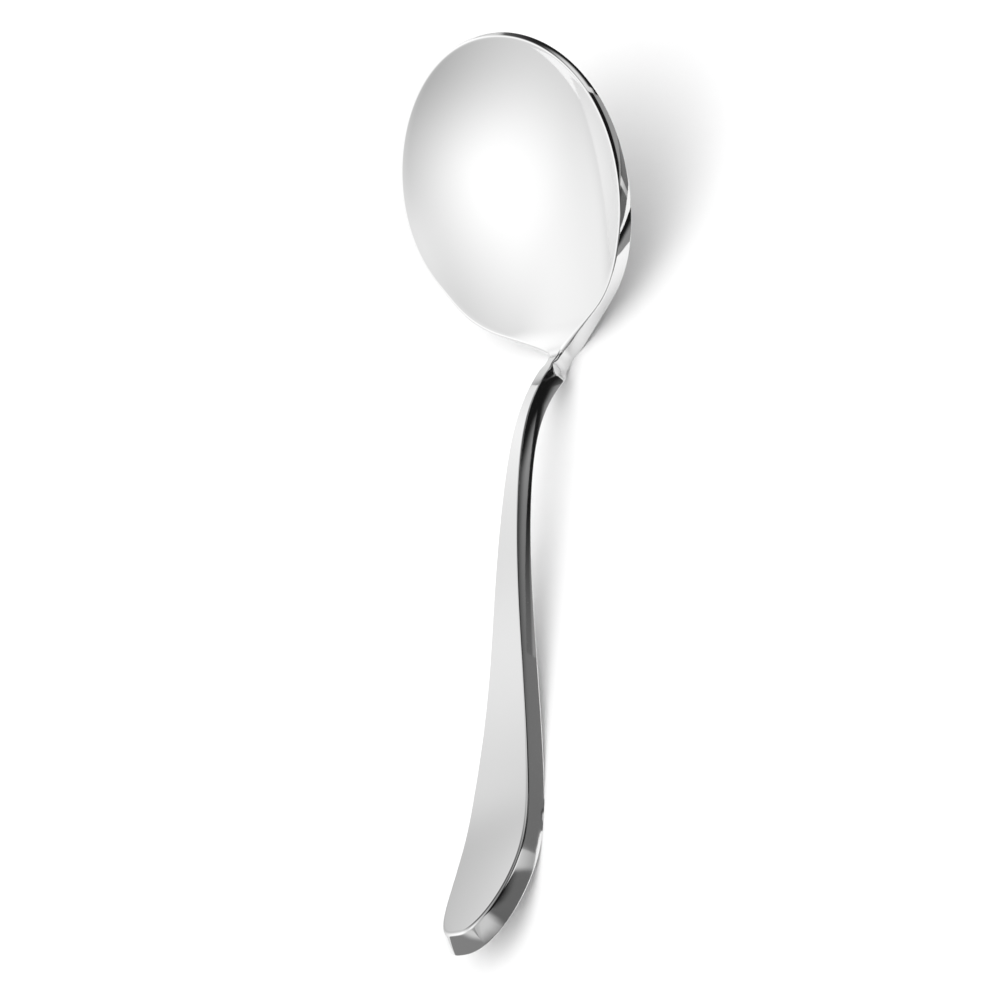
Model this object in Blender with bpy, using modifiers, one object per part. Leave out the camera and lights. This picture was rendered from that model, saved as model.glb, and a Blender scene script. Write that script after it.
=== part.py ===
"""Polished steel spoon with a round bowl, forged as one piece.

Metres, +Z up, length along X with the bowl towards +X. The spoon lies at rest on z = 0.
The shape is drawn in the rim's own axes (across, along, height) and tipped onto its rest at the end.
"""
import math
import bpy
import numpy as np

# Bowl: a round hollow whose outline runs into the neck along two straight shoulders.
BOWL_RADIUS = 0.03463
BOWL_DEPTH = 0.0092
BOWL_POWER = 2.1
RIM_DIP = 0.00391
TIP_LIFT = 0.0
SHOULDER_ANGLE = 25.9
BOWL_THICK = ((-1.0, 0.00148), (0.0, 0.00257), (0.6, 0.00327))
RIM_ROUND = 0.0008

# Neck: where the shoulders turn into the handle.
NECK_HALF_WIDTH = 0.00181
NECK_CORNER = 0.00178
NECK_DROP = 0.00401
NECK_BLEND = 0.00460
NECK_TURN = (0.746, 1.126)

# Handle: slope of its line above the rim plane in degrees and half width, each along the handle's length.
HANDLE_LENGTH = 0.1390
HANDLE_SLOPE = ((0.0, 67.3), (0.073, 51.1), (0.175, 31.7), (0.307, 22.6), (0.511, 18.2),
                (0.715, 23.8), (0.774, 26.9), (0.847, 38.3), (1.0, 53.1))
HANDLE_HALF_WIDTH = ((0.073, 0.00152), (0.15, 0.00161), (0.263, 0.00225),
                     (0.438, 0.00381), (0.584, 0.00561), (0.715, 0.00785))
# A low END_TURN turns the sides sharply into the end, and a high END_POWER makes its tip blunt.
END_START = 0.847
END_HALF_WIDTH = 0.00940
END_TURN = 1.50
END_POWER = 3.35
HANDLE_THICK = ((0.0, 0.00401), (0.12, 0.00344), (0.45, 0.00313), (0.73, 0.00356), (1.0, 0.00478))
HANDLE_CROWN = 0.15

# Edge: radius of its lip along the handle, lean of its wall in degrees and radius of its lower corner.
EDGE_ROUND = ((0.0, 0.0003), (0.6, 0.0003), (0.85, 0.0010), (1.0, 0.0012))
WALL_TOP = 28.0
WALL_FOOT = 16.0
RIM_BARREL = 3.0
BACK_ROUND = 0.0004

# Depth of the two small flats worn on the back, on which the spoon rests.
REST_FLAT = 0.0002

# Mesh steps.
BOWL_ROWS = 31
SHOULDER_ROWS = 5
CORNER_ROWS = 3
HANDLE_ROWS = 30
END_ROWS = 12
FACE_COLUMNS = 7
LIP_COLUMNS = 3
WALL_COLUMNS = 2
HEEL_COLUMNS = 2
SPINE = 0.8


def clear_scene():
    for obj in list(bpy.data.objects):
        bpy.data.objects.remove(obj, do_unlink=True)
    for mesh in list(bpy.data.meshes):
        bpy.data.meshes.remove(mesh)


def spline(points, flat_end=False):
    """Smooth curve through the points; straight at its ends, or level at the far end."""
    xs = np.array([p[0] for p in points])
    ys = np.array([p[1] for p in points])
    n = len(xs)
    h = np.diff(xs)
    rise = np.diff(ys) / h
    system = np.eye(n)
    target = np.zeros(n)
    for i in range(1, n - 1):
        system[i, i - 1:i + 2] = [h[i - 1], 2 * (h[i - 1] + h[i]), h[i]]
        target[i] = 6 * (rise[i] - rise[i - 1])
    if flat_end:
        system[n - 1, n - 2:] = [h[-1], 2 * h[-1]]
        target[n - 1] = -6 * rise[-1]
    bend = np.linalg.solve(system, target)

    def curve(x):
        i = np.clip(np.searchsorted(xs, x) - 1, 0, n - 2)
        a = (xs[i + 1] - x) / h[i]
        b = (x - xs[i]) / h[i]
        curl = (a ** 3 - a) * bend[i] + (b ** 3 - b) * bend[i + 1]
        return a * ys[i] + b * ys[i + 1] + curl * h[i] ** 2 / 6
    return curve


def ease(x, start, end):
    t = np.clip((x - start) / (end - start), 0.0, 1.0)
    return t * t * (3 - 2 * t)


# The neck corner is tangent to the shoulder line and to the handle's edge.
PSI = math.radians(SHOULDER_ANGLE)
SHOULDER_ALONG = -BOWL_RADIUS * math.cos(PSI)
CORNER_ACROSS = NECK_HALF_WIDTH + NECK_CORNER
NECK_ALONG = (math.sin(PSI) * CORNER_ACROSS - BOWL_RADIUS - NECK_CORNER) / math.cos(PSI)
NECK_RISE = (math.hypot(NECK_HALF_WIDTH, NECK_ALONG) / BOWL_RADIUS) ** BOWL_POWER - 1

# The handle's line, stepped along its slope and carried straight on past its end.
STEP = np.linspace(0.0, 1.05 * HANDLE_LENGTH, 1200)
SLOPE = np.radians(spline(HANDLE_SLOPE)(np.minimum(STEP / HANDLE_LENGTH, 1.0)))
MID_SLOPE = (SLOPE[1:] + SLOPE[:-1]) / 2
LINE_ALONG = NECK_ALONG - np.concatenate([[0.0], np.cumsum(np.cos(MID_SLOPE) * np.diff(STEP))])
LINE_HEIGHT = np.concatenate([[0.0], np.cumsum(np.sin(MID_SLOPE) * np.diff(STEP))]) - NECK_DROP

half_width = spline(((0.0, NECK_HALF_WIDTH),) + HANDLE_HALF_WIDTH + ((END_START, END_HALF_WIDTH),), True)

# Thickness of metal from the bowl's tip, past its middle and the neck, to the handle's end.
THICK_STATIONS = [(place * BOWL_RADIUS, metal) for place, metal in BOWL_THICK]
THICK_STATIONS += [(place * HANDLE_LENGTH - NECK_ALONG, metal) for place, metal in HANDLE_THICK]
thickness = spline(THICK_STATIONS)


def handle_run(v):
    return np.clip(NECK_ALONG - v, 0.0, STEP[-1])


def rim_height(along):
    """Height of the bowl's edge, lifting to the tip and dipping to the neck, less the hollow's rise."""
    t = along / BOWL_RADIUS
    past = np.maximum((SHOULDER_ALONG - along) / (SHOULDER_ALONG - NECK_ALONG), 0.0)
    sheer = t * t * (TIP_LIFT * (1 + t) - RIM_DIP * (1 - t)) / 2
    return sheer - BOWL_DEPTH * NECK_RISE * past ** 2


def front(v, x):
    """Front surface at distance v along the axis (unrolled along the handle) and x across."""
    run = handle_run(v)
    along = np.where(v > NECK_ALONG, v, np.interp(run, STEP, LINE_ALONG))
    lead = np.maximum(v - NECK_ALONG, 0.0) * math.tan(SLOPE[0])
    line = np.interp(run, STEP, LINE_HEIGHT) - lead
    hollow = BOWL_DEPTH * ((np.hypot(x, along) / BOWL_RADIUS) ** BOWL_POWER - 1)
    dish = hollow + rim_height(along)
    height = (dish + line + np.sqrt((dish - line) ** 2 + NECK_BLEND ** 2)) / 2
    crown = ease(run, 0.0, 0.1 * HANDLE_LENGTH) * x * x / (2 * HANDLE_CROWN)
    return along, height - crown


def lean(v):
    """Angle of the edge wall: square to the rim plane in the bowl, square to the handle beyond."""
    turn = ease(v / NECK_ALONG, *NECK_TURN)
    return turn * np.interp(handle_run(v), STEP, SLOPE)


def depth(v, x):
    """Thickness of metal at a point, measured along the edge wall."""
    reach = np.minimum(np.hypot(x, v) / BOWL_RADIUS, 1.0)
    pitch = BOWL_DEPTH * BOWL_POWER / BOWL_RADIUS * reach ** (BOWL_POWER - 1)
    pitch = pitch * ease(v, NECK_ALONG, -0.55 * BOWL_RADIUS)
    return thickness(-v) * np.sqrt(1 + pitch ** 2)


def outline():
    """Half outline from the bowl's tip to the handle's end: v, x, outward normal and spine point."""
    turn = np.linspace(0.0, math.pi - PSI, BOWL_ROWS)
    v = [BOWL_RADIUS * np.cos(turn)]
    x = [BOWL_RADIUS * np.sin(turn)]
    spine = [SPINE * v[0]]
    arc = np.linspace(math.pi / 2 + PSI, math.pi, CORNER_ROWS + 1)
    corner_v = NECK_ALONG + NECK_CORNER * np.sin(arc)
    corner_x = CORNER_ACROSS + NECK_CORNER * np.cos(arc)
    u = np.linspace(0.0, 1.0, SHOULDER_ROWS + 1)[1:]
    v.append(v[0][-1] + (corner_v[0] - v[0][-1]) * u)
    x.append(x[0][-1] + (corner_x[0] - x[0][-1]) * u)
    v.append(corner_v[1:])
    x.append(corner_x[1:])
    blend_v = np.concatenate(v[1:])
    share = (blend_v - v[0][-1]) / (blend_v[-1] - v[0][-1])
    spine.append(spine[0][-1] + (blend_v[-1] - spine[0][-1]) * share)
    run = np.linspace(0.0, END_START, HANDLE_ROWS + 1)[1:]
    v.append(NECK_ALONG - run * HANDLE_LENGTH)
    x.append(half_width(run))
    spine.append(v[-1])
    turn = np.linspace(0.0, math.pi / 2, END_ROWS + 1)[1:]
    tail = 1 - END_START
    run = END_START + tail * np.sin(turn) ** (2 / END_TURN)
    v.append(NECK_ALONG - run * HANDLE_LENGTH)
    x.append(END_HALF_WIDTH * np.maximum(np.cos(turn), 0.0) ** (2 / END_POWER))
    start = NECK_ALONG - END_START * HANDLE_LENGTH
    spine.append(start + SPINE * (v[-1] - start))
    v, x, spine = np.concatenate(v), np.concatenate(x), np.concatenate(spine)
    x[0] = x[-1] = 0.0
    dv = np.gradient(v)
    dx = np.gradient(x)
    size = np.hypot(dv, dx)
    nv, nx = dx / size, -dv / size
    nv[0], nx[0] = 1.0, 0.0
    nv[-1], nx[-1] = -1.0, 0.0
    return v, x, nv, nx, spine


def edge(v, x):
    """Edge section as (out, down) steps: rounded lip, wall turning from its top lean to its foot, corner."""
    metal = depth(v, x)
    onto_handle = ease(-v, -NECK_ALONG, -NECK_ALONG + 0.06 * HANDLE_LENGTH)
    places, radii = zip(*EDGE_ROUND)
    lip = RIM_ROUND + (np.interp(handle_run(v) / HANDLE_LENGTH, places, radii) - RIM_ROUND) * onto_handle
    lip = np.minimum(lip, 0.45 * metal)
    top = np.radians(RIM_BARREL + (WALL_TOP - RIM_BARREL) * onto_handle)
    foot = np.radians(-RIM_BARREL + (WALL_FOOT + RIM_BARREL) * onto_handle)
    flank = metal - lip * (1 - np.sin(top)) - BACK_ROUND * (1 + np.sin(foot))
    out = -lip * np.tan((math.pi / 2 - top) / 2)
    down = np.zeros_like(out)
    turn = np.zeros_like(out)
    steps = [(out, down)]
    for radius, end, count in ((lip, math.pi / 2 - top, LIP_COLUMNS),
                               (flank / (np.sin(top) - np.sin(foot)), math.pi / 2 - foot, WALL_COLUMNS),
                               (BACK_ROUND, np.full_like(out, math.pi), HEEL_COLUMNS)):
        for f in np.linspace(0.0, 1.0, count + 1)[1:]:
            to = turn + (end - turn) * f
            steps.append((out + radius * (np.sin(to) - np.sin(turn)),
                          down + radius * (np.cos(turn) - np.cos(to))))
        out, down = steps[-1]
        turn = end
    return steps


def half_shell():
    """Points of half the spoon, one row per outline point: front face, edge wall, back face."""
    v, x, nv, nx, spine = outline()
    steps = edge(v, x)
    share = np.linspace(0.0, 1.0, FACE_COLUMNS + 1)
    columns = []
    inset = steps[0][0]
    for f in share[:-1]:
        columns.append((spine + (v + inset * nv - spine) * f, (x + inset * nx) * f, 0.0 * v))
    for out, down in steps[:-1]:
        columns.append((v + out * nv, x + out * nx, down))
    inset = steps[-1][0]
    for f in share[::-1]:
        cv = spine + (v + inset * nv - spine) * f
        cx = (x + inset * nx) * f
        columns.append((cv, cx, depth(cv, cx)))
    points = []
    for cv, cx, down in columns:
        along, height = front(cv, cx)
        tilt = lean(cv)
        points.append(np.stack([cx, along - down * np.sin(tilt), height - down * np.cos(tilt)], 1))
    return np.stack(points, 1)


def quads(rows, cols):
    faces = []
    for i in range(rows - 1):
        for j in range(cols - 1):
            a = i * cols + j
            faces.append((a, a + 1, a + cols + 1, a + cols))
    return faces


def mass_centre(points, faces):
    """Centre of mass of half the closed spoon, in the plane of its axis."""
    total = 0.0
    moment = np.zeros(3)
    for a, b, c, d in faces:
        for p, q, r in ((a, b, c), (a, c, d)):
            part = np.dot(points[p], np.cross(points[q], points[r])) / 6
            total += part
            moment += part * (points[p] + points[q] + points[r]) / 4
    return moment / total, total


def rest_angle(points, centre):
    """Angle that turns the spoon onto the pair of back points it comes to rest on."""
    side = sorted({(round(p[1], 7), round(p[2], 7)) for p in points})
    hull = []
    for p in side:
        while len(hull) > 1:
            (ax, az), (bx, bz) = hull[-2], hull[-1]
            if (bx - ax) * (p[1] - az) - (bz - az) * (p[0] - ax) > 0:
                break
            hull.pop()
        hull.append(p)
    best = None
    for a, b in zip(hull, hull[1:]):
        angle = math.atan2(b[1] - a[1], b[0] - a[0])
        height = (centre[2] - a[1]) * math.cos(angle) - (centre[1] - a[0]) * math.sin(angle)
        if best is None or height < best[0]:
            best = (height, -angle)
    return best[1]


def steel():
    material = bpy.data.materials.new("polished_steel")
    material.use_nodes = True
    shader = material.node_tree.nodes["Principled BSDF"]
    shader.inputs["Base Color"].default_value = (0.78, 0.78, 0.77, 1.0)
    shader.inputs["Metallic"].default_value = 1.0
    shader.inputs["Roughness"].default_value = 0.06
    return material


def build():
    clear_scene()
    parts = bpy.data.collections.new("round_bowl_spoon")
    cutters = bpy.data.collections.new("cutters")
    for group in (parts, cutters):
        bpy.context.scene.collection.children.link(group)

    shell = half_shell()
    rows, cols = shell.shape[:2]
    points = shell.reshape(-1, 3)
    faces = quads(rows, cols)
    centre, volume = mass_centre(points, faces)
    tilt = rest_angle(points, centre)
    length = points[:, 1] * math.cos(tilt) - points[:, 2] * math.sin(tilt)
    height = points[:, 1] * math.sin(tilt) + points[:, 2] * math.cos(tilt)
    length = length - (length.max() + length.min()) / 2
    height = height - height.min() - REST_FLAT
    verts = np.stack([length, -points[:, 0], height], 1)
    if volume < 0:
        faces = [face[::-1] for face in faces]
    print("tilt", round(math.degrees(tilt), 2), "volume cm3", round(abs(volume) * 2e6, 2))

    mesh = bpy.data.meshes.new("spoon")
    mesh.from_pydata([tuple(p) for p in verts.tolist()], [], faces)
    mesh.materials.append(steel())
    spoon = bpy.data.objects.new("spoon", mesh)
    parts.objects.link(spoon)
    mirror = spoon.modifiers.new("both_halves", "MIRROR")
    mirror.use_axis = (False, True, False)
    mirror.merge_threshold = 0.00002

    slab_mesh = bpy.data.meshes.new("rest_slab")
    reach = 2 * HANDLE_LENGTH
    corners = [(sx * reach, sy * reach, z) for z in (-reach, 0.0) for sx, sy in
               ((-1, -1), (1, -1), (1, 1), (-1, 1))]
    sides = [(3, 2, 1, 0), (4, 5, 6, 7), (0, 1, 5, 4), (1, 2, 6, 5), (2, 3, 7, 6), (3, 0, 4, 7)]
    slab_mesh.from_pydata(corners, [], sides)
    slab = bpy.data.objects.new("rest_slab", slab_mesh)
    slab.hide_render = True
    slab.display_type = "WIRE"
    cutters.objects.link(slab)
    cut = spoon.modifiers.new("rest_flats", "BOOLEAN")
    cut.operation = "DIFFERENCE"
    cut.solver = "EXACT"
    cut.object = slab


build()
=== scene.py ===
"""Looks of the polished steel spoon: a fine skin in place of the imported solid, in a pale studio.

Sizes are in metres and angles in degrees. A list of stations pairs each place with the value there.
"""
import math

import bpy
import numpy as np
from mathutils import Matrix, Quaternion, Vector


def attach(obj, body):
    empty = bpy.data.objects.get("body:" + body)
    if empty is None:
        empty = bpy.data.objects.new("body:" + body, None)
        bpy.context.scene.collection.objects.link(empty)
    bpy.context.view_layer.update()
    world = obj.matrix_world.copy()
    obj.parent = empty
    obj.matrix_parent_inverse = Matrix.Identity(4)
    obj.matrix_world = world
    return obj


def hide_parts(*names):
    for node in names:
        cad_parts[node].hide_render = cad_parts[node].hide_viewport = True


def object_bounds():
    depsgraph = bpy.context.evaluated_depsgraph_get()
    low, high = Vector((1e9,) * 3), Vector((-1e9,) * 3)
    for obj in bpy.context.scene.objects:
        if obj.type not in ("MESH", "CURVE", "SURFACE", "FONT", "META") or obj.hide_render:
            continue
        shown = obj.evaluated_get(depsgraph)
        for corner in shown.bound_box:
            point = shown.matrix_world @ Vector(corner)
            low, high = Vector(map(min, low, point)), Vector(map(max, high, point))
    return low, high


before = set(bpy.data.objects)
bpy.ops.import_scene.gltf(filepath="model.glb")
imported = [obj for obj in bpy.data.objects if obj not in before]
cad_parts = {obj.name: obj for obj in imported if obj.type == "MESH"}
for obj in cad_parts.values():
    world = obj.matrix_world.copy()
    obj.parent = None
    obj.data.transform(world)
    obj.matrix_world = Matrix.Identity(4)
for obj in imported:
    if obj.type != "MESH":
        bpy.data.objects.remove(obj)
cad_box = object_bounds()

# Bowl. Thickness stations are shares of the radius, from the tip at -1 towards the neck. From PITCH_FADE on,
# another such share, the hollow's slope counts less and less in the thickness.
BOWL_RADIUS = 0.03463
BOWL_DEPTH = 0.0092
BOWL_POWER = 2.1
BOWL_THICK = ((-1.0, 0.00148), (0.0, 0.00245), (0.6, 0.00320))
PITCH_FADE = 0.55
RIM_DIP = 0.00391
SHOULDER_ANGLE = 25.9

# Neck. The direction of thickness turns from the bowl's to the handle's between two shares of the neck's
# distance from the bowl's middle.
NECK_HALF_WIDTH = 0.00181
NECK_CORNER = 0.00178
NECK_DROP = 0.00401
NECK_BLEND = 0.00460
NECK_TURN = (0.746, 1.126)

# Handle. Stations are shares of its length from the neck. The end's outline is a rounded form of two powers,
# and the crown is the radius across the front, full from CROWN_START on.
HANDLE_LENGTH = 0.1390
HANDLE_SLOPE = ((0.0, 67.3), (0.073, 51.1), (0.175, 31.7), (0.307, 22.6), (0.511, 18.2),
                (0.715, 23.8), (0.774, 26.9), (0.847, 38.3), (1.0, 53.1))
HANDLE_HALF_WIDTH = ((0.073, 0.00152), (0.15, 0.00161), (0.263, 0.00225),
                     (0.438, 0.00381), (0.584, 0.00561), (0.715, 0.00785))
HANDLE_THICK = ((0.0, 0.00401), (0.12, 0.00344), (0.45, 0.00313), (0.73, 0.00356), (1.0, 0.00478))
HANDLE_CROWN = 0.15
CROWN_START = 0.1
END_START = 0.847
END_HALF_WIDTH = 0.00940
END_TURN = 1.75
END_POWER = 2.80

# Edge section: rounding of the lip and of the back corner, and the wall's lean at its top and at its foot.
# The rim's lean fades between two shares of the radius, which leaves a slight barrel. The rim's section turns
# into the handle's between two distances past the neck. The lip takes up no more than a share of the metal.
RIM_ROUND = 0.0008
RIM_LEAN = (28.0, 19.0)
RIM_LEAN_ENDS = (0.50, 0.88)
RIM_BARREL = 3.0
EDGE_ROUND = ((0.0, 0.0003), (0.6, 0.0003), (0.85, 0.0010), (1.0, 0.0012))
WALL_TOP = ((0.0, 32.0), (0.1, 29.0), (0.5, 28.0), (1.0, 28.0))
WALL_FOOT = ((0.0, 27.0), (0.1, 22.0), (0.4, 20.5), (0.7, 22.0), (1.0, 20.0))
ONTO_HANDLE = (-0.0002, 0.0045)
LIP_LIMIT = 0.45
BACK_ROUND = 0.0001

# Steel: grey, gloss, and the scales of its faint clouds and polishing lines.
STEEL_COLOUR = (0.78, 0.78, 0.78, 1.0)
STEEL_ROUGHNESS = 0.055
ROUGHNESS_SWING = 0.03
CLOUD_SCALE = 60.0
CLOUD_TINT = 0.008
LINE_SCALE = (400.0, 5000.0, 5000.0)
LINE_STRENGTH = 0.04
LINE_DEPTH = 0.00002
NOISE_DETAIL = 3.0

# How the spoon lies: the rim plane's tilt, and the depth of the flats it rests on.
TILT_ANGLE = 27.03605
REST_FLAT = 0.0002

# Mesh steps. The wall's columns are shares of its turn. The columns of front and back start from a spine, at
# a share of the outline's reach. The handle's middle line is worked out a little past its end.
BOWL_ROWS = 120
SHOULDER_ROWS = 24
CORNER_ROWS = 12
HANDLE_ROWS = 130
END_ROWS = 60
FRONT_COLUMNS = 26
LIP_COLUMNS = 8
WALL_SHARES = (0.03, 0.35, 0.68, 0.97, 1.0)
HEEL_COLUMNS = 6
BACK_COLUMNS = 18
SPINE = 0.8
LINE_REACH = 1.05
LINE_STEPS = 4000
SLANT_STEP = 1e-5


def spline(points, flat_end=False):
    """Smooth curve through the points; straight at its ends, or level at the far end."""
    places = np.array([point[0] for point in points])
    values = np.array([point[1] for point in points])
    count = len(places)
    gaps = np.diff(places)
    rise = np.diff(values) / gaps
    system = np.eye(count)
    target = np.zeros(count)
    for i in range(1, count - 1):
        system[i, i - 1:i + 2] = [gaps[i - 1], 2 * (gaps[i - 1] + gaps[i]), gaps[i]]
        target[i] = 6 * (rise[i] - rise[i - 1])
    if flat_end:
        system[count - 1, count - 2:] = [gaps[-1], 2 * gaps[-1]]
        target[count - 1] = -6 * rise[-1]
    bend = np.linalg.solve(system, target)

    def curve(x):
        i = np.clip(np.searchsorted(places, x) - 1, 0, count - 2)
        before = (places[i + 1] - x) / gaps[i]
        after = (x - places[i]) / gaps[i]
        curl = (before ** 3 - before) * bend[i] + (after ** 3 - after) * bend[i + 1]
        return before * values[i] + after * values[i + 1] + curl * gaps[i] ** 2 / 6
    return curve


def ease(x, start, end):
    """Smooth change from 0 at start to 1 at end."""
    t = np.clip((x - start) / (end - start), 0.0, 1.0)
    return t * t * (3 - 2 * t)


def along_handle(stations, share):
    """Value at a share of the handle's length, on straight lines between stations."""
    shares, values = zip(*stations)
    return np.interp(share, shares, values)


# Worked out from the sizes above: where shoulder and neck lie along the axis, and the handle's middle line.
TILT = math.radians(TILT_ANGLE)
SHOULDER = math.radians(SHOULDER_ANGLE)
SHOULDER_ALONG = -BOWL_RADIUS * math.cos(SHOULDER)
CORNER_ACROSS = NECK_HALF_WIDTH + NECK_CORNER
NECK_ALONG = (math.sin(SHOULDER) * CORNER_ACROSS - BOWL_RADIUS - NECK_CORNER) / math.cos(SHOULDER)
NECK_RISE = (math.hypot(NECK_HALF_WIDTH, NECK_ALONG) / BOWL_RADIUS) ** BOWL_POWER - 1
STEP = np.linspace(0.0, LINE_REACH * HANDLE_LENGTH, LINE_STEPS)
SLOPE = np.radians(spline(HANDLE_SLOPE)(np.minimum(STEP / HANDLE_LENGTH, 1.0)))
MID_SLOPE = (SLOPE[1:] + SLOPE[:-1]) / 2
LINE_ALONG = NECK_ALONG - np.concatenate([[0.0], np.cumsum(np.cos(MID_SLOPE) * np.diff(STEP))])
LINE_HEIGHT = np.concatenate([[0.0], np.cumsum(np.sin(MID_SLOPE) * np.diff(STEP))]) - NECK_DROP
WIDTH_STATIONS = ((0.0, NECK_HALF_WIDTH),) + HANDLE_HALF_WIDTH + ((END_START, END_HALF_WIDTH),)
half_width = spline(WIDTH_STATIONS, True)
THICK_STATIONS = [(place * BOWL_RADIUS, metal) for place, metal in BOWL_THICK]
THICK_STATIONS += [(place * HANDLE_LENGTH - NECK_ALONG, metal) for place, metal in HANDLE_THICK]
thickness = spline(THICK_STATIONS)


def handle_run(v):
    """Distance run along the handle from the neck."""
    return np.clip(NECK_ALONG - v, 0.0, STEP[-1])


def rim_height(along):
    """Height of the bowl's edge, less the hollow's rise towards the neck."""
    t = along / BOWL_RADIUS
    past = np.maximum((SHOULDER_ALONG - along) / (SHOULDER_ALONG - NECK_ALONG), 0.0)
    dip = RIM_DIP * t * t * (1 - t) / 2
    return -dip - BOWL_DEPTH * NECK_RISE * past ** 2


def front(v, x):
    """Front surface at distance v along the axis (unrolled along the handle) and x across."""
    run = handle_run(v)
    along = np.where(v > NECK_ALONG, v, np.interp(run, STEP, LINE_ALONG))
    lead = np.maximum(v - NECK_ALONG, 0.0) * math.tan(SLOPE[0])
    line = np.interp(run, STEP, LINE_HEIGHT) - lead
    hollow = BOWL_DEPTH * ((np.hypot(x, along) / BOWL_RADIUS) ** BOWL_POWER - 1)
    dish = hollow + rim_height(along)
    height = (dish + line + np.sqrt((dish - line) ** 2 + NECK_BLEND ** 2)) / 2
    crown = ease(run, 0.0, CROWN_START * HANDLE_LENGTH) * x * x / (2 * HANDLE_CROWN)
    return along, height - crown


def lean(v):
    """Angle that thickness is measured at: square to the rim plane in the bowl, to the handle beyond."""
    turn = ease(v / NECK_ALONG, *NECK_TURN)
    return turn * np.interp(handle_run(v), STEP, SLOPE)


def depth(v, x):
    """Thickness of metal at a point, more where the bowl's hollow is steep."""
    reach = np.minimum(np.hypot(x, v) / BOWL_RADIUS, 1.0)
    pitch = BOWL_DEPTH * BOWL_POWER / BOWL_RADIUS * reach ** (BOWL_POWER - 1)
    pitch = pitch * ease(v, NECK_ALONG, -PITCH_FADE * BOWL_RADIUS)
    return thickness(-v) * np.sqrt(1 + pitch ** 2)


def bowl_outline():
    """Round part of the half outline, from the tip to the shoulder."""
    turn = np.linspace(0.0, math.pi - SHOULDER, BOWL_ROWS)
    v = BOWL_RADIUS * np.cos(turn)
    return v, BOWL_RADIUS * np.sin(turn), np.cos(turn), np.sin(turn), SPINE * v


def neck_outline(shoulder_v, shoulder_x, shoulder_spine):
    """Straight shoulder and the concave corner that leads it into the neck."""
    arc = np.linspace(math.pi / 2 + SHOULDER, math.pi, CORNER_ROWS + 1)
    corner_v = NECK_ALONG + NECK_CORNER * np.sin(arc)
    corner_x = CORNER_ACROSS + NECK_CORNER * np.cos(arc)
    share = np.linspace(0.0, 1.0, SHOULDER_ROWS + 1)[1:]
    v = np.concatenate([shoulder_v + (corner_v[0] - shoulder_v) * share, corner_v[1:]])
    x = np.concatenate([shoulder_x + (corner_x[0] - shoulder_x) * share, corner_x[1:]])
    out_v = np.concatenate([np.full(SHOULDER_ROWS, -math.cos(SHOULDER)), -np.sin(arc[1:])])
    out_x = np.concatenate([np.full(SHOULDER_ROWS, math.sin(SHOULDER)), -np.cos(arc[1:])])
    share = (v - shoulder_v) / (v[-1] - shoulder_v)
    return v, x, out_v, out_x, shoulder_spine + (v[-1] - shoulder_spine) * share


def handle_outline():
    """Side of the handle, from the neck to the start of its rounded end."""
    run = np.linspace(0.0, END_START, HANDLE_ROWS + 1)[1:]
    spread = half_width(run + SLANT_STEP) - half_width(run - SLANT_STEP)
    slant = spread / (2 * SLANT_STEP * HANDLE_LENGTH)
    v = NECK_ALONG - run * HANDLE_LENGTH
    return v, half_width(run), slant / np.hypot(1.0, slant), 1.0 / np.hypot(1.0, slant), v


def end_outline():
    """Rounded end of the handle."""
    turn = np.linspace(0.0, math.pi / 2, END_ROWS + 1)[1:]
    sine = np.sin(turn)
    cosine = np.maximum(np.cos(turn), 0.0)
    tail = (1 - END_START) * HANDLE_LENGTH
    start = NECK_ALONG - END_START * HANDLE_LENGTH
    v = start - tail * sine ** (2 / END_TURN)
    x = END_HALF_WIDTH * cosine ** (2 / END_POWER)
    grade_v = END_TURN * sine ** (2 - 2 / END_TURN) / tail
    grade_x = END_POWER * cosine ** (2 - 2 / END_POWER) / END_HALF_WIDTH
    grade = np.hypot(grade_v, grade_x)
    return v, x, -grade_v / grade, grade_x / grade, start + SPINE * (v - start)


def outline():
    """Half outline from the bowl's tip to the handle's end: v, x, outward normal and spine point."""
    bowl = bowl_outline()
    neck = neck_outline(bowl[0][-1], bowl[1][-1], bowl[4][-1])
    stretches = (bowl, neck, handle_outline(), end_outline())
    v, x, out_v, out_x, spine = [np.concatenate(part) for part in zip(*stretches)]
    x[0] = x[-1] = out_x[0] = out_x[-1] = 0.0
    return v, x, out_v, out_x, spine


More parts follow.
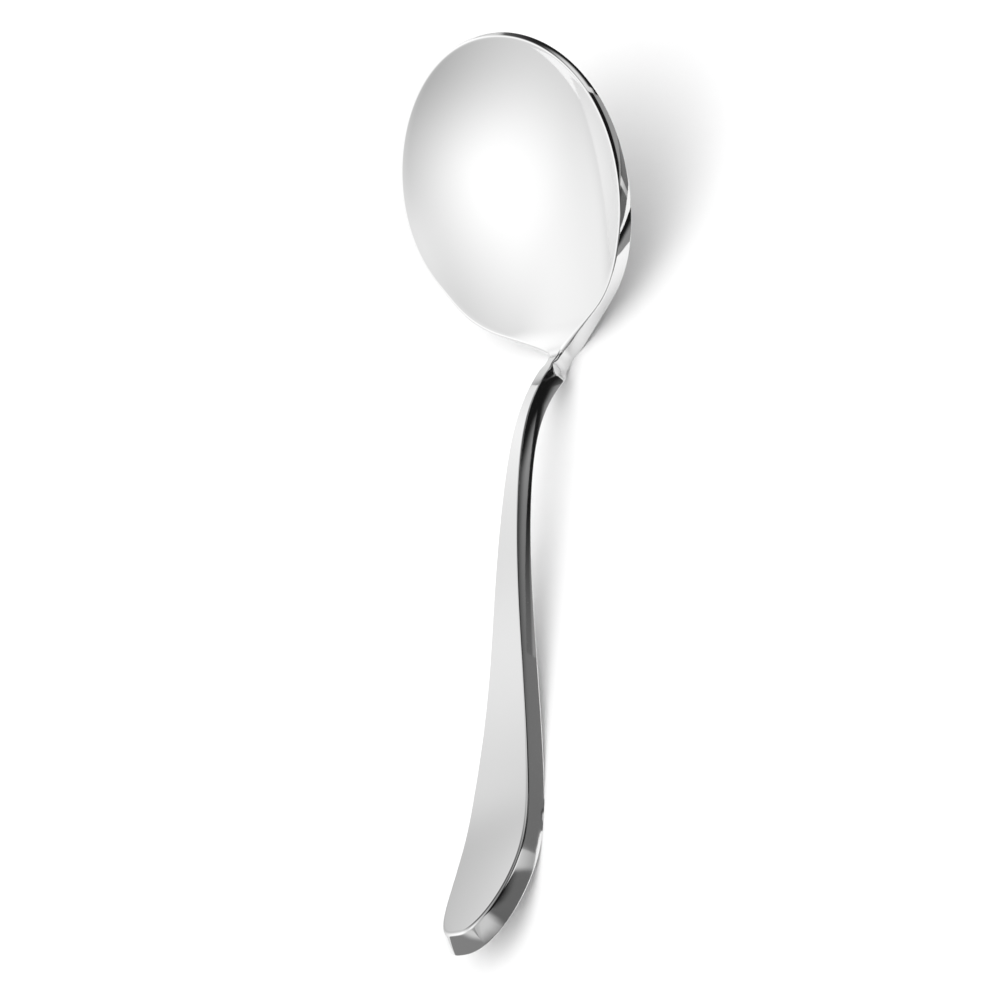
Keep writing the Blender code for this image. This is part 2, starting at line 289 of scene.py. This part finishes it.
def edge(v, x):
    """Edge section as (out, down) steps: rounded lip, wall turning from its top lean to its foot, corner."""
    metal = depth(v, x)
    onto_handle = ease(-v, -NECK_ALONG + ONTO_HANDLE[0], -NECK_ALONG + ONTO_HANDLE[1])
    rim = 1 - ease(-v / BOWL_RADIUS, *RIM_LEAN_ENDS)
    rim_top = RIM_BARREL + (RIM_LEAN[0] - RIM_BARREL) * rim
    rim_foot = -RIM_BARREL + (RIM_LEAN[1] + RIM_BARREL) * rim
    share = handle_run(v) / HANDLE_LENGTH
    lip = RIM_ROUND + (along_handle(EDGE_ROUND, share) - RIM_ROUND) * onto_handle
    lip = np.minimum(lip, LIP_LIMIT * metal)
    top = np.radians(rim_top + (along_handle(WALL_TOP, share) - rim_top) * onto_handle)
    foot = np.radians(rim_foot + (along_handle(WALL_FOOT, share) - rim_foot) * onto_handle)
    flank = metal - lip * (1 - np.sin(top)) - BACK_ROUND * (1 + np.sin(foot))
    out = -lip * np.tan((math.pi / 2 - top) / 2) - flank * np.tan((top + foot) / 2) * (1 - onto_handle)
    down = np.zeros_like(out)
    turn = np.zeros_like(out)
    lip_shares = np.linspace(0.0, 1.0, LIP_COLUMNS + 1)[1:]
    heel_shares = np.linspace(0.0, 1.0, HEEL_COLUMNS + 1)[1:]
    arcs = ((lip, math.pi / 2 - top, lip_shares),
            (flank / (np.sin(top) - np.sin(foot)), math.pi / 2 - foot, WALL_SHARES),
            (BACK_ROUND, np.full_like(out, math.pi), heel_shares))
    steps = [(out, down)]
    for radius, end, shares in arcs:
        for f in shares:
            to = turn + (end - turn) * f
            steps.append((out + radius * (np.sin(to) - np.sin(turn)),
                          down + radius * (np.cos(turn) - np.cos(to))))
        out, down = steps[-1]
        turn = end
    return steps


def half_shell():
    """Points of half the spoon, one row per outline point: front face, edge wall, back face."""
    v, x, out_v, out_x, spine = outline()
    steps = edge(v, x)
    columns = []
    inset = steps[0][0]
    for f in np.linspace(0.0, 1.0, FRONT_COLUMNS + 1)[:-1]:
        columns.append((spine + (v + inset * out_v - spine) * f, (x + inset * out_x) * f, 0.0 * v))
    for out, down in steps[:-1]:
        columns.append((v + out * out_v, x + out * out_x, down))
    inset = steps[-1][0]
    for f in np.linspace(1.0, 0.0, BACK_COLUMNS + 1):
        back_v = spine + (v + inset * out_v - spine) * f
        back_x = (x + inset * out_x) * f
        columns.append((back_v, back_x, depth(back_v, back_x)))
    points = []
    for column_v, column_x, down in columns:
        along, height = front(column_v, column_x)
        tip = lean(column_v)
        points.append(np.stack([column_x, along - down * np.sin(tip), height - down * np.cos(tip)], 1))
    return np.stack(points, 1)


def laid_down(design):
    """Points of one half, tipped onto the spoon's rest and set into the solid's own box."""
    length = design[:, 1] * math.cos(TILT) - design[:, 2] * math.sin(TILT)
    height = design[:, 1] * math.sin(TILT) + design[:, 2] * math.cos(TILT)
    across = -design[:, 0]
    low, high = cad_box
    length = low.x + (length - length.min()) * (high.x - low.x) / (length.max() - length.min())
    across = across * (-low.y / np.abs(across).max())
    height = np.maximum(height - height.min() - REST_FLAT, 0.0)
    height = low.z + height * (high.z - low.z) / height.max()
    return np.stack([length, across, height], 1)


def spoon_mesh():
    """Both halves as one closed skin, joined along the middle."""
    shell = half_shell()
    rows, cols = shell.shape[:2]
    right = laid_down(shell.reshape(-1, 3))
    left = right * np.array([1.0, -1.0, 1.0])
    grid = np.arange(rows * cols).reshape(rows, cols)
    inner = np.zeros((rows, cols), bool)
    inner[1:-1, 1:-1] = True
    mirrored = grid.copy()
    mirrored[inner] = rows * cols + np.arange(inner.sum())
    verts = np.concatenate([right, left[inner.reshape(-1)]])
    verts[grid[~inner], 1] = 0.0
    faces = []
    for side, flip in ((grid, False), (mirrored, True)):
        a, b, c, d = side[:-1, :-1], side[:-1, 1:], side[1:, 1:], side[1:, :-1]
        order = (a, b, c, d) if flip else (a, d, c, b)
        faces.append(np.stack(order, -1).reshape(-1, 4))
    mesh = bpy.data.meshes.new("spoon_skin")
    mesh.from_pydata(verts.tolist(), [], np.concatenate(faces).tolist())
    mesh.validate()
    mesh.update()
    mesh.polygons.foreach_set("use_smooth", [True] * len(mesh.polygons))
    return mesh


def toward(azimuth, elevation):
    """Unit vector for a direction, azimuth from +X towards +Y."""
    a = math.radians(azimuth)
    e = math.radians(elevation)
    return Vector((math.cos(e) * math.cos(a), math.cos(e) * math.sin(a), math.sin(e)))


class Graph:
    """Short forms for wiring a shader's nodes."""

    def __init__(self, tree):
        self.nodes = tree.nodes
        self.links = tree.links

    def plug(self, value, socket):
        """Link a socket, or set a number or vector on it."""
        if isinstance(value, bpy.types.NodeSocket):
            self.links.new(value, socket)
        else:
            socket.default_value = value

    def math(self, operation, *values):
        """Result of a math node on sockets or numbers."""
        node = self.nodes.new("ShaderNodeMath")
        node.operation = operation
        for value, socket in zip(values, node.inputs):
            self.plug(value, socket)
        return node.outputs[0]

    def dot(self, ray, vector):
        """Share of a ray along a vector."""
        node = self.nodes.new("ShaderNodeVectorMath")
        node.operation = "DOT_PRODUCT"
        self.plug(ray, node.inputs[0])
        self.plug(vector, node.inputs[1])
        return node.outputs["Value"]

    def step(self, value, start, end):
        """Smooth change from 0 at start to 1 at end."""
        node = self.nodes.new("ShaderNodeMapRange")
        node.interpolation_type = "SMOOTHSTEP"
        for name, setting in (("Value", value), ("From Min", start), ("From Max", end)):
            self.plug(setting, node.inputs[name])
        return node.outputs["Result"]

    def curve(self, value, points):
        """Straight-line curve through (place, value) points."""
        first = points[0][0]
        last = points[-1][0]
        span = self.nodes.new("ShaderNodeMapRange")
        for name, setting in (("Value", value), ("From Min", first), ("From Max", last)):
            self.plug(setting, span.inputs[name])
        node = self.nodes.new("ShaderNodeValToRGB")
        band = node.color_ramp
        for place, _ in points[1:-1]:
            band.elements.new((place - first) / (last - first))
        for stop, (_, level) in zip(band.elements, points):
            stop.color = (level, level, level, 1.0)
        self.links.new(span.outputs["Result"], node.inputs["Fac"])
        return node.outputs["Color"]

    def noise(self, place, scale):
        """Noise from 0 to 1, stretched by its scale along each axis."""
        stretch = self.nodes.new("ShaderNodeVectorMath")
        stretch.operation = "MULTIPLY"
        self.plug(place, stretch.inputs[0])
        self.plug(scale, stretch.inputs[1])
        node = self.nodes.new("ShaderNodeTexNoise")
        node.inputs["Scale"].default_value = 1.0
        node.inputs["Detail"].default_value = NOISE_DETAIL
        self.plug(stretch.outputs["Vector"], node.inputs["Vector"])
        return node.outputs[0]

    def soft_light(self, ray, azimuth, elevation, turn, half_length, half_height, brightness, power):
        """A soft-edged oval of light on the sky, drawn on a map of the sky around its centre."""
        centre = toward(azimuth, elevation)
        level = Vector((0.0, 0.0, 1.0)).cross(centre).normalized()
        upright = centre.cross(level)
        c = math.cos(math.radians(turn))
        s = math.sin(math.radians(turn))
        near = self.math("MAXIMUM", self.math("ADD", self.dot(ray, centre), 1.0), LEAST_NEAR)
        u = self.math("DIVIDE", self.dot(ray, (level * c + upright * s) * (2 / half_length)), near)
        v = self.math("DIVIDE", self.dot(ray, (upright * c - level * s) * (2 / half_height)), near)
        reach = self.math("ADD", self.math("MULTIPLY", u, u), self.math("MULTIPLY", v, v))
        fall = self.math("MULTIPLY", self.math("POWER", reach, power / 2), -1.0)
        return self.math("MULTIPLY", self.math("EXPONENT", fall), brightness)


def steel():
    """Mirror-polished steel: faint clouds in colour and gloss, and fine polishing lines along the spoon."""
    material = bpy.data.materials.new("polished_steel_skin")
    material.use_nodes = True
    graph = Graph(material.node_tree)
    shader = graph.nodes["Principled BSDF"]
    shader.inputs["Base Color"].default_value = STEEL_COLOUR
    shader.inputs["Metallic"].default_value = 1.0
    shader.inputs["Roughness"].default_value = STEEL_ROUGHNESS
    place = graph.nodes.new("ShaderNodeTexCoord").outputs["Object"]
    clouds = graph.noise(place, (CLOUD_SCALE,) * 3)
    lines = graph.noise(place, LINE_SCALE)
    tint = graph.nodes.new("ShaderNodeMix")
    tint.data_type = "RGBA"
    graph.plug(clouds, tint.inputs["Factor"])
    graph.plug([c - CLOUD_TINT for c in STEEL_COLOUR[:3]] + [1.0], tint.inputs["A"])
    graph.plug([c + CLOUD_TINT for c in STEEL_COLOUR[:3]] + [1.0], tint.inputs["B"])
    graph.plug(tint.outputs["Result"], shader.inputs["Base Color"])
    gloss = graph.math("MULTIPLY_ADD", graph.math("ADD", clouds, lines), ROUGHNESS_SWING,
                       STEEL_ROUGHNESS - ROUGHNESS_SWING)
    graph.plug(gloss, shader.inputs["Roughness"])
    bump = graph.nodes.new("ShaderNodeBump")
    bump.inputs["Strength"].default_value = LINE_STRENGTH
    bump.inputs["Distance"].default_value = LINE_DEPTH
    graph.plug(lines, bump.inputs["Height"])
    graph.plug(bump.outputs["Normal"], shader.inputs["Normal"])
    return material


skin = bpy.data.objects.new("spoon_skin", spoon_mesh())
bpy.context.scene.collection.objects.link(skin)
skin.data.materials.append(steel())
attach(skin, "root")
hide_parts("spoon")

# Camera, from the photograph's viewpoint: place, azimuth and elevation it looks from, and roll.
# Lens and sensor are in millimetres.
CAMERA_PLACE = (-0.3350293, -0.7344140, 0.6566853)
CAMERA_FROM = (-114.49387, 38.53117)
CAMERA_ROLL = -67.01065
LENS = 170.0
SENSOR_WIDTH = 36.0
NEAR_AND_FAR = (0.01, 50.0)

camera_data = bpy.data.cameras.new("camera")
camera_data.lens = LENS
camera_data.sensor_width = SENSOR_WIDTH
camera_data.sensor_fit = "HORIZONTAL"
camera_data.clip_start, camera_data.clip_end = NEAR_AND_FAR
camera = bpy.data.objects.new("camera", camera_data)
bpy.context.scene.collection.objects.link(camera)
roll = Quaternion((0.0, 0.0, 1.0), math.radians(CAMERA_ROLL))
camera_turn = toward(*CAMERA_FROM).to_track_quat("Z", "Y") @ roll
camera.matrix_world = Matrix.Translation(CAMERA_PLACE) @ camera_turn.to_matrix().to_4x4()
bpy.context.scene.camera = camera

# Floor: one wide pale sheet.
FLOOR_REACH = 30.0
FLOOR_COLOUR = (0.90, 0.90, 0.90, 1.0)


def sheet(name, corners, material):
    """One four-cornered sheet of the studio."""
    mesh = bpy.data.meshes.new(name)
    mesh.from_pydata(corners, [], [(0, 1, 2, 3)])
    mesh.materials.append(material)
    obj = bpy.data.objects.new(name, mesh)
    bpy.context.scene.collection.objects.link(obj)
    return obj


floor_material = bpy.data.materials.new("floor")
floor_material.use_nodes = True
floor_shader = floor_material.node_tree.nodes["Principled BSDF"]
floor_shader.inputs["Base Color"].default_value = FLOOR_COLOUR
floor_shader.inputs["Roughness"].default_value = 1.0
floor_shader.inputs["Specular IOR Level"].default_value = 0.0
floor_signs = ((-1, -1), (1, -1), (1, 1), (-1, 1))
sheet("floor", [(x * FLOOR_REACH, y * FLOOR_REACH, 0.0) for x, y in floor_signs], floor_material)

# Studio: soft lights in a dark room. Each row gives azimuth, elevation, turn of the long side, half length
# and half height (twice the tangent of half the angle), brightness, and the power of its edge's fall-off.
# LEAST_NEAR keeps a light's map finite on the far side of the sky.
SOFT_LIGHTS = ((141.0, 54.8, 16.1, 0.944, 0.667, 0.742, 1.63),
               (97.2, 5.0, 76.0, 2.619, 1.000, 0.745, 2.20),
               (-38.0, 34.0, 0.0, 0.450, 0.130, 0.900, 4.00),
               (-80.0, 66.0, 0.0, 0.600, 0.330, 0.700, 3.00))
LEAST_NEAR = 0.001
ROOM = 0.012

world = bpy.data.worlds.new("studio")
world.use_nodes = True
bpy.context.scene.world = world
sky = Graph(world.node_tree)
ray = sky.nodes.new("ShaderNodeTexCoord").outputs["Generated"]
total = ROOM
for light in SOFT_LIGHTS:
    total = sky.math("ADD", sky.soft_light(ray, *light), total)
sky.plug(total, sky.nodes["Background"].inputs["Color"])


def card(name, foot, up, brightness, see_through=False):
    """Upright card between two foot points, which only the metal mirrors.

    Its brightness is a function of the place on it. A see-through card adds its light to what is behind it.
    """
    material = bpy.data.materials.new(name)
    material.use_nodes = True
    graph = Graph(material.node_tree)
    graph.nodes.remove(graph.nodes["Principled BSDF"])
    where = graph.nodes.new("ShaderNodeSeparateXYZ")
    graph.plug(graph.nodes.new("ShaderNodeNewGeometry").outputs["Position"], where.inputs[0])
    glow = graph.nodes.new("ShaderNodeEmission")
    graph.plug(brightness(graph, *where.outputs), glow.inputs["Strength"])
    surface = glow.outputs[0]
    if see_through:
        both = graph.nodes.new("ShaderNodeAddShader")
        graph.plug(surface, both.inputs[0])
        graph.plug(graph.nodes.new("ShaderNodeBsdfTransparent").outputs[0], both.inputs[1])
        surface = both.outputs[0]
    graph.plug(surface, graph.nodes["Material Output"].inputs["Surface"])
    corners = [(*foot[i], up[j]) for i, j in ((0, 0), (1, 0), (1, 1), (0, 1))]
    obj = sheet(name, corners, material)
    obj.visible_camera = False
    obj.visible_diffuse = False
    obj.visible_shadow = False


# Glow on the far side, mirrored by the bowl, the neck and the upper handle. It fades over a width at each of
# its borders.
GLOW_PLACE = 0.25
GLOW_ACROSS = (0.017, 0.60)
GLOW_UP = (0.026, 0.473)
GLOW_START_FADE = 0.201
GLOW_END_FADE = 0.1
GLOW_FOOT_FADE = 0.06
GLOW_HEAD_FADE = 0.242
GLOW_BRIGHT = 0.638


def glow_tone(graph, x, y, z):
    rise = graph.math("MULTIPLY", graph.step(x, GLOW_ACROSS[0], GLOW_ACROSS[0] + GLOW_START_FADE),
                      graph.step(z, GLOW_UP[0], GLOW_UP[0] + GLOW_FOOT_FADE))
    fall = graph.math("MULTIPLY", graph.step(z, GLOW_UP[1], GLOW_UP[1] - GLOW_HEAD_FADE),
                      graph.step(x, GLOW_ACROSS[1], GLOW_ACROSS[1] - GLOW_END_FADE))
    return graph.math("MULTIPLY", graph.math("MULTIPLY", rise, fall), GLOW_BRIGHT)


card("glow_card", [(x, GLOW_PLACE) for x in GLOW_ACROSS], GLOW_UP, glow_tone, True)

# Grey card on the camera's side, mirrored by the edge wall: its greys along X and the height where it turns
# black, a leaning strip of light, a lighter field towards the handle's end, a light corner past the bowl.
CARD_PLACE = -0.20
CARD_ACROSS = (-0.30, 0.26)
CARD_UP = (0.0, 0.22)
CARD_GREY = ((-0.30, 0.13), (-0.09, 0.14), (-0.065, 0.150), (-0.03, 0.15), (0.0, 0.16), (0.05, 0.20),
             (0.075, 0.24), (0.10, 0.33), (0.13, 0.31), (0.15, 0.24), (0.26, 0.22))
CARD_TOP = ((-0.30, 0.20), (-0.085, 0.13), (-0.072, 0.082), (-0.054, 0.060), (-0.040, 0.050),
            (-0.020, 0.046), (0.03, 0.052), (0.09, 0.050), (0.105, 0.040), (0.12, 0.033),
            (0.135, 0.026), (0.15, 0.014), (0.18, 0.013), (0.26, 0.002))
CARD_SOFT = 0.015
CARD_DARK = 0.010
STRIP_FOOT = -0.011
STRIP_LEAN = 0.215
STRIP_HALF = (0.0150, 0.0060)
STRIP_FLARE = 0.06
STRIP_TOP = (0.125, 0.105)
STRIP_BRIGHT = ((0.0, 0.42), (0.03, 0.65), (0.06, 0.95), (0.12, 0.97))
FIELD_FOOT = ((-0.30, 0.20), (-0.23, 0.15), (-0.197, 0.123), (-0.167, 0.100), (-0.137, 0.072),
              (-0.115, 0.061), (-0.095, 0.085), (-0.075, 0.14), (-0.06, 0.22))
FIELD_SOFT = 0.042
FIELD_BRIGHT = 0.58
LIGHT_CORNER_ACROSS = (0.15, 0.18)
LIGHT_CORNER_UP = (0.11, 0.14)
LIGHT_CORNER_BRIGHT = 0.85


def grey_tone(graph, x, y, z):
    top = graph.curve(x, CARD_TOP)
    under = graph.step(z, graph.math("ADD", top, CARD_SOFT), graph.math("SUBTRACT", top, CARD_SOFT))
    grey = graph.math("MULTIPLY", graph.curve(x, CARD_GREY), under)
    axis = graph.math("MULTIPLY_ADD", z, STRIP_LEAN, STRIP_FOOT)
    strip = graph.math("ABSOLUTE", graph.math("SUBTRACT", x, axis))
    strip = graph.step(graph.math("MULTIPLY_ADD", z, -STRIP_FLARE, strip), *STRIP_HALF)
    strip = graph.math("MULTIPLY", strip, graph.step(z, *STRIP_TOP))
    strip = graph.math("MULTIPLY", strip, graph.curve(z, STRIP_BRIGHT))
    foot = graph.curve(x, FIELD_FOOT)
    field = graph.step(z, graph.math("SUBTRACT", foot, FIELD_SOFT), graph.math("ADD", foot, FIELD_SOFT))
    field = graph.math("MULTIPLY", field, FIELD_BRIGHT)
    corner = graph.math("MULTIPLY", graph.step(x, *LIGHT_CORNER_ACROSS), graph.step(z, *LIGHT_CORNER_UP))
    field = graph.math("MULTIPLY_ADD", corner, LIGHT_CORNER_BRIGHT, field)
    shade = graph.math("MAXIMUM", graph.math("ADD", grey, CARD_DARK), strip)
    return graph.math("ADD", shade, field)


card("grey_card", [(x, CARD_PLACE) for x in CARD_ACROSS], CARD_UP, grey_tone)

# Small card beyond the handle's end, dark at its foot and light at its head.
END_CARD_FOOT = ((-0.17, -0.075), (-0.17, 0.16))
END_CARD_UP = (0.0, 0.105)
END_CARD_RISE = (0.072, 0.092)
END_CARD_GREY = (0.27, 0.75)


def end_tone(graph, x, y, z):
    rise = graph.step(z, *END_CARD_RISE)
    return graph.math("MULTIPLY_ADD", rise, END_CARD_GREY[1] - END_CARD_GREY[0], END_CARD_GREY[0])


card("end_card", END_CARD_FOOT, END_CARD_UP, end_tone)

# Flag beside the bowl, mirrored by its rim: grey below a rising line, black above it.
FLAG_PLACE = -0.08
FLAG_ACROSS = (-0.01, 0.125)
FLAG_UP = (0.030, 0.11)
FLAG_LINE = ((-0.01, 0.030), (0.02, 0.030), (0.06, 0.034), (0.09, 0.046), (0.125, 0.062))
FLAG_SOFT = 0.001
FLAG_GREY = 0.37


def flag_tone(graph, x, y, z):
    line = graph.curve(x, FLAG_LINE)
    under = graph.step(z, graph.math("ADD", line, FLAG_SOFT), graph.math("SUBTRACT", line, FLAG_SOFT))
    return graph.math("MULTIPLY_ADD", under, FLAG_GREY, CARD_DARK)


card("rim_flag", [(x, FLAG_PLACE) for x in FLAG_ACROSS], FLAG_UP, flag_tone)

# Low card beside the bowl's shoulder, mirrored by the lower rim and the upper handle: grey at its foot, black
# at its head, and fading to grey towards the handle.
LOW_CARD_FOOT = ((-0.02, -0.045), (0.060, -0.045))
LOW_CARD_UP = (0.0, 0.0125)
LOW_CARD_RISE = (0.010, 0.006)
LOW_CARD_GREY = 0.32
LOW_CARD_END = 0.15
LOW_CARD_FADE = 0.022


def low_tone(graph, x, y, z):
    foot = graph.math("MULTIPLY_ADD", graph.step(z, *LOW_CARD_RISE), LOW_CARD_GREY, CARD_DARK)
    end = graph.math("MULTIPLY", graph.step(x, LOW_CARD_FADE, LOW_CARD_FOOT[0][0]), LOW_CARD_END)
    return graph.math("MAXIMUM", foot, end)


card("low_card", LOW_CARD_FOOT, LOW_CARD_UP, low_tone)

# Soft sun for the floor and its shadow; the metal mirrors the studio, not this lamp.
SUN_ENERGY = 2.3
SUN_ANGLE = 140.0
SUN_FROM = (-60.0, 65.0)

lamp_data = bpy.data.lights.new("fill", "SUN")
lamp_data.energy = SUN_ENERGY
lamp_data.angle = math.radians(SUN_ANGLE)
lamp = bpy.data.objects.new("fill", lamp_data)
bpy.context.scene.collection.objects.link(lamp)
lamp.rotation_euler = toward(*SUN_FROM).to_track_quat("Z", "Y").to_euler()
lamp.visible_glossy = False
bpy.context.scene.view_settings.view_transform = "Standard"
